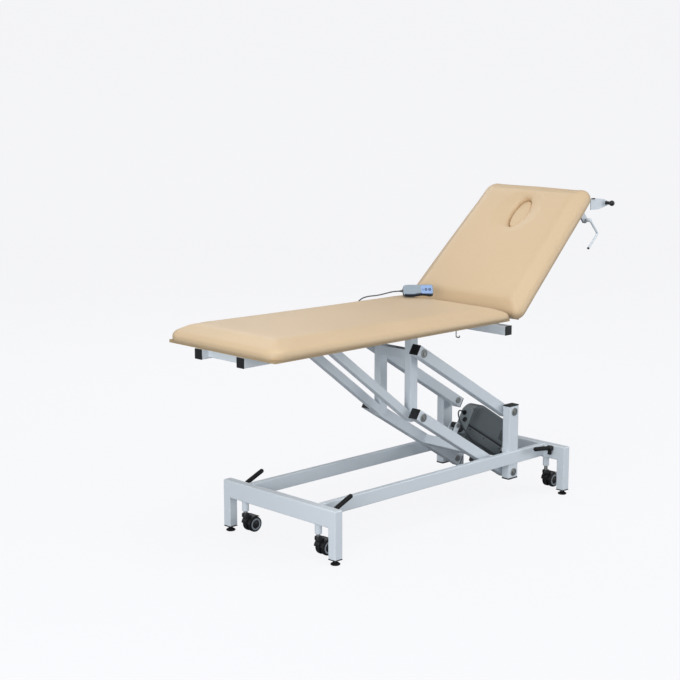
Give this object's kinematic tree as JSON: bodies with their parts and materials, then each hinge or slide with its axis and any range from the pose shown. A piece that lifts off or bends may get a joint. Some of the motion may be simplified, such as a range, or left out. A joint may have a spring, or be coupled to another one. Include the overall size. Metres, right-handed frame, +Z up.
{
  "type": "medical exam table",
  "caption": "Height-adjustable two-section examination couch: padded seat and raised backrest with face opening on a lifting parallelogram frame with castors.",
  "frame": {"origin": "centre of the bounding box's base, on the floor under the couch", "axes": "+X towards the head end, +Y across to the far side, +Z up"},
  "size_m": [2.0532, 0.672, 1.3481],
  "materials": {
    "white_paint": "white powder coat, semi-gloss",
    "black_plastic": "moulded black plastic",
    "black_rubber": "black rubber",
    "zinc": "zinc-plated steel",
    "housing_grey": "fine-grained dark grey plastic",
    "chromed_rod": "polished chrome",
    "black_metal": "black enamel",
    "vinyl": "beige upholstery vinyl, soft sheen",
    "black_board": "black-stained plywood",
    "handset_grey": "blue-grey plastic",
    "button_blue": "dark blue plastic",
    "cable_grey": "grey cable jacket"
  },
  "bodies": {
    "base": {"actuator_mount": "white_paint", "base_caps": "black_plastic", "base_legs": "white_paint", "base_pivot_bolts": "zinc", "base_posts": "white_paint", "base_rails": "white_paint", "castor_sockets": "white_paint", "cross_members": "white_paint"},
    "castor_stem_foot_near": {"castor_stem_foot_near": "zinc"},
    "castor_yoke_foot_near": {"castor_yoke_foot_near": "black_plastic"},
    "castor_wheels_foot_near": {"castor_wheels_foot_near": "black_rubber"},
    "lever_foot_near": {"lever_foot_near": "black_rubber"},
    "levelling_foot_foot_near": {"levelling_foot_foot_near": "black_rubber"},
    "castor_stem_foot_far": {"castor_stem_foot_far": "zinc"},
    "castor_yoke_foot_far": {"castor_yoke_foot_far": "black_plastic"},
    "castor_wheels_foot_far": {"castor_wheels_foot_far": "black_rubber"},
    "lever_foot_far": {"lever_foot_far": "black_rubber"},
    "levelling_foot_foot_far": {"levelling_foot_foot_far": "black_rubber"},
    "castor_stem_head_near": {"castor_stem_head_near": "zinc"},
    "castor_yoke_head_near": {"castor_yoke_head_near": "black_plastic"},
    "castor_wheels_head_near": {"castor_wheels_head_near": "black_rubber"},
    "lever_head_near": {"lever_head_near": "black_rubber"},
    "levelling_foot_head_near": {"levelling_foot_head_near": "black_rubber"},
    "castor_stem_head_far": {"castor_stem_head_far": "zinc"},
    "castor_yoke_head_far": {"castor_yoke_head_far": "black_plastic"},
    "castor_wheels_head_far": {"castor_wheels_head_far": "black_rubber"},
    "lever_head_far": {"lever_head_far": "black_rubber"},
    "levelling_foot_head_far": {"levelling_foot_head_far": "black_rubber"},
    "lower_arms": {"lower_arms": "white_paint", "lower_arm_fittings": "black_plastic", "lower_cross_tube": "white_paint"},
    "upper_arms": {"upper_arms": "white_paint", "upper_arm_caps": "black_plastic"},
    "actuator_rod": {"actuator_rod": "chromed_rod"},
    "actuator_body": {"actuator_housing": "housing_grey", "actuator_tube": "black_metal", "actuator_cable": "cable_grey"},
    "backrest": {"back_frame": "white_paint", "back_board": "black_board", "back_cushion": "vinyl", "roll_brackets": "white_paint"},
    "face_plug": {"face_plug": "vinyl"},
    "release_lever": {"release_lever": "white_paint"},
    "roll_spindle": {"roll_spindle": "black_plastic"},
    "gas_spring_cylinder": {"gas_spring_cylinder": "black_metal"},
    "gas_spring_rod": {"gas_spring_rod": "chromed_rod"},
    "up_button": {"up_button": "button_blue"},
    "down_button": {"down_button": "button_blue"},
    "upper_frame": {"frame_uprights": "white_paint", "frame_struts": "white_paint", "bed_rails": "white_paint", "frame_cross_tubes": "white_paint", "frame_caps": "black_plastic", "hinge_plates": "white_paint", "frame_bolts": "zinc", "seat_board": "black_board", "seat_cushion": "vinyl", "under_seat_fittings": "housing_grey", "handset_body": "handset_grey", "handset_cable": "cable_grey"}
  },
  "joints": [
    {"name": "lever_turn_foot_near", "type": "hinge", "parent": "base", "child": "lever_foot_near", "pos_m": [-0.6786, -0.261, 0.196], "axis": [0, 1, 0], "range_deg": [0, 35]},
    {"name": "stem_slide_foot_near", "type": "slide", "parent": "base", "child": "castor_stem_foot_near", "axis": [0, 0, -1], "range_m": [-0.0005, 0.0165]},
    {"name": "swivel_foot_near", "type": "hinge", "parent": "castor_stem_foot_near", "child": "castor_yoke_foot_near", "pos_m": [-0.7126, -0.215, 0.085], "axis": [0, 0, 1], "continuous": true},
    {"name": "wheel_foot_near", "type": "hinge", "parent": "castor_yoke_foot_near", "child": "castor_wheels_foot_near", "pos_m": [-0.6776, -0.215, 0.043], "axis": [0, 1, 0], "continuous": true},
    {"name": "foot_screw_foot_near", "type": "slide", "parent": "base", "child": "levelling_foot_foot_near", "axis": [0, 0, 1], "range_m": [0, 0.007]},
    {"name": "lever_turn_foot_far", "type": "hinge", "parent": "base", "child": "lever_foot_far", "pos_m": [-0.6786, 0.261, 0.196], "axis": [0, 1, 0], "range_deg": [0, 35]},
    {"name": "stem_slide_foot_far", "type": "slide", "parent": "base", "child": "castor_stem_foot_far", "axis": [0, 0, -1], "range_m": [-0.0005, 0.0165]},
    {"name": "swivel_foot_far", "type": "hinge", "parent": "castor_stem_foot_far", "child": "castor_yoke_foot_far", "pos_m": [-0.7126, 0.215, 0.085], "axis": [0, 0, 1], "continuous": true},
    {"name": "wheel_foot_far", "type": "hinge", "parent": "castor_yoke_foot_far", "child": "castor_wheels_foot_far", "pos_m": [-0.6776, 0.215, 0.043], "axis": [0, 1, 0], "continuous": true},
    {"name": "foot_screw_foot_far", "type": "slide", "parent": "base", "child": "levelling_foot_foot_far", "axis": [0, 0, 1], "range_m": [0, 0.007]},
    {"name": "lever_turn_head_near", "type": "hinge", "parent": "base", "child": "lever_head_near", "pos_m": [0.6564, -0.261, 0.207], "axis": [0, -1, 0], "range_deg": [0, 20]},
    {"name": "stem_slide_head_near", "type": "slide", "parent": "base", "child": "castor_stem_head_near", "axis": [0, 0, -1], "range_m": [-0.0005, 0.0165]},
    {"name": "swivel_head_near", "type": "hinge", "parent": "castor_stem_head_near", "child": "castor_yoke_head_near", "pos_m": [0.6894, -0.215, 0.085], "axis": [0, 0, 1], "continuous": true},
    {"name": "wheel_head_near", "type": "hinge", "parent": "castor_yoke_head_near", "child": "castor_wheels_head_near", "pos_m": [0.7244, -0.215, 0.043], "axis": [0, 1, 0], "continuous": true},
    {"name": "foot_screw_head_near", "type": "slide", "parent": "base", "child": "levelling_foot_head_near", "axis": [0, 0, 1], "range_m": [0, 0.007]},
    {"name": "lever_turn_head_far", "type": "hinge", "parent": "base", "child": "lever_head_far", "pos_m": [0.6564, 0.261, 0.207], "axis": [0, -1, 0], "range_deg": [0, 20]},
    {"name": "stem_slide_head_far", "type": "slide", "parent": "base", "child": "castor_stem_head_far", "axis": [0, 0, -1], "range_m": [-0.0005, 0.0165]},
    {"name": "swivel_head_far", "type": "hinge", "parent": "castor_stem_head_far", "child": "castor_yoke_head_far", "pos_m": [0.6894, 0.215, 0.085], "axis": [0, 0, 1], "continuous": true},
    {"name": "wheel_head_far", "type": "hinge", "parent": "castor_yoke_head_far", "child": "castor_wheels_head_far", "pos_m": [0.7244, 0.215, 0.043], "axis": [0, 1, 0], "continuous": true},
    {"name": "foot_screw_head_far", "type": "slide", "parent": "base", "child": "levelling_foot_head_far", "axis": [0, 0, 1], "range_m": [0, 0.007]},
    {"name": "lift", "type": "hinge", "parent": "base", "child": "lower_arms", "pos_m": [0.4631, 0, 0.1249], "axis": [0, 1, 0], "range_deg": [-32.4, 6]},
    {"name": "frame_level", "type": "hinge", "parent": "lower_arms", "child": "upper_frame", "pos_m": [-0.06337, 0, 0.44626], "axis": [0, 1, 0], "range_deg": [-6.5, 33]},
    {"name": "upper_arm_turn", "type": "hinge", "parent": "base", "child": "upper_arms", "pos_m": [0.4631, 0, 0.3949], "axis": [0, 1, 0], "range_deg": [-33, 6.5]},
    {"name": "actuator_rod_pivot", "type": "hinge", "parent": "lower_arms", "child": "actuator_rod", "pos_m": [0.31353, 0, 0.32515], "axis": [0, 1, 0], "range_deg": [-2.8, 12.9]},
    {"name": "actuator_stroke", "type": "slide", "parent": "actuator_rod", "child": "actuator_body", "axis": [-0.8536, 0, 0.521], "range_m": [-0.0415, 0.008]},
    {"name": "backrest_hinge", "type": "hinge", "parent": "upper_frame", "child": "backrest", "pos_m": [0.3834, 0, 0.806], "axis": [0, -1, 0], "range_deg": [-42.5, 9.5]},
    {"name": "gas_spring_pivot", "type": "hinge", "parent": "upper_frame", "child": "gas_spring_cylinder", "pos_m": [0.4094, 0, 0.758], "axis": [0, -1, 0], "range_deg": [-42.6, 9.7]},
    {"name": "gas_spring_stroke", "type": "slide", "parent": "gas_spring_cylinder", "child": "gas_spring_rod", "axis": [0.6932, 0, 0.7207], "range_m": [-0.0395, 0.0092]},
    {"name": "release_lever_turn", "type": "hinge", "parent": "backrest", "child": "release_lever", "pos_m": [0.86864, -0.27, 1.20453], "axis": [0, 1, 0], "range_deg": [0, 15], "stiffness_Nm_per_rad": 1.5, "springref_deg": -17.19},
    {"name": "roll_spindle_turn", "type": "hinge", "parent": "backrest", "child": "roll_spindle", "pos_m": [1.01038, 0, 1.27074], "axis": [0, 1, 0], "continuous": true},
    {"name": "face_plug_pull", "type": "slide", "parent": "backrest", "child": "face_plug", "axis": [-0.6756, 0, 0.7373], "range_m": [0, 0.08]},
    {"name": "up_button_press", "type": "slide", "parent": "upper_frame", "child": "up_button", "axis": [0.5093, 0.6542, -0.5592], "range_m": [0, 0.0018], "stiffness_N_per_m": 400, "springref_m": -0.001},
    {"name": "down_button_press", "type": "slide", "parent": "upper_frame", "child": "down_button", "axis": [0.5093, 0.6542, -0.5592], "range_m": [0, 0.0018], "stiffness_N_per_m": 400, "springref_m": -0.001}
  ],
  "couplings": [
    {"joint": "stem_slide_foot_near", "follows": "lever_turn_foot_near", "m_per_rad": 0.024555},
    {"joint": "stem_slide_foot_far", "follows": "lever_turn_foot_far", "m_per_rad": 0.024555},
    {"joint": "stem_slide_head_near", "follows": "lever_turn_head_near", "m_per_rad": 0.042972},
    {"joint": "stem_slide_head_far", "follows": "lever_turn_head_far", "m_per_rad": 0.042972},
    {"joint": "frame_level", "follows": "lift", "ratio": -1},
    {"joint": "upper_arm_turn", "follows": "lift", "ratio": 1},
    {"joint": "actuator_rod_pivot", "follows": "lift", "ratio": -0.3796},
    {"joint": "actuator_stroke", "follows": "lift", "m_per_rad": 0.07228},
    {"joint": "gas_spring_pivot", "follows": "backrest_hinge", "ratio": 0.9894},
    {"joint": "gas_spring_stroke", "follows": "backrest_hinge", "m_per_rad": 0.05236}
  ]
}
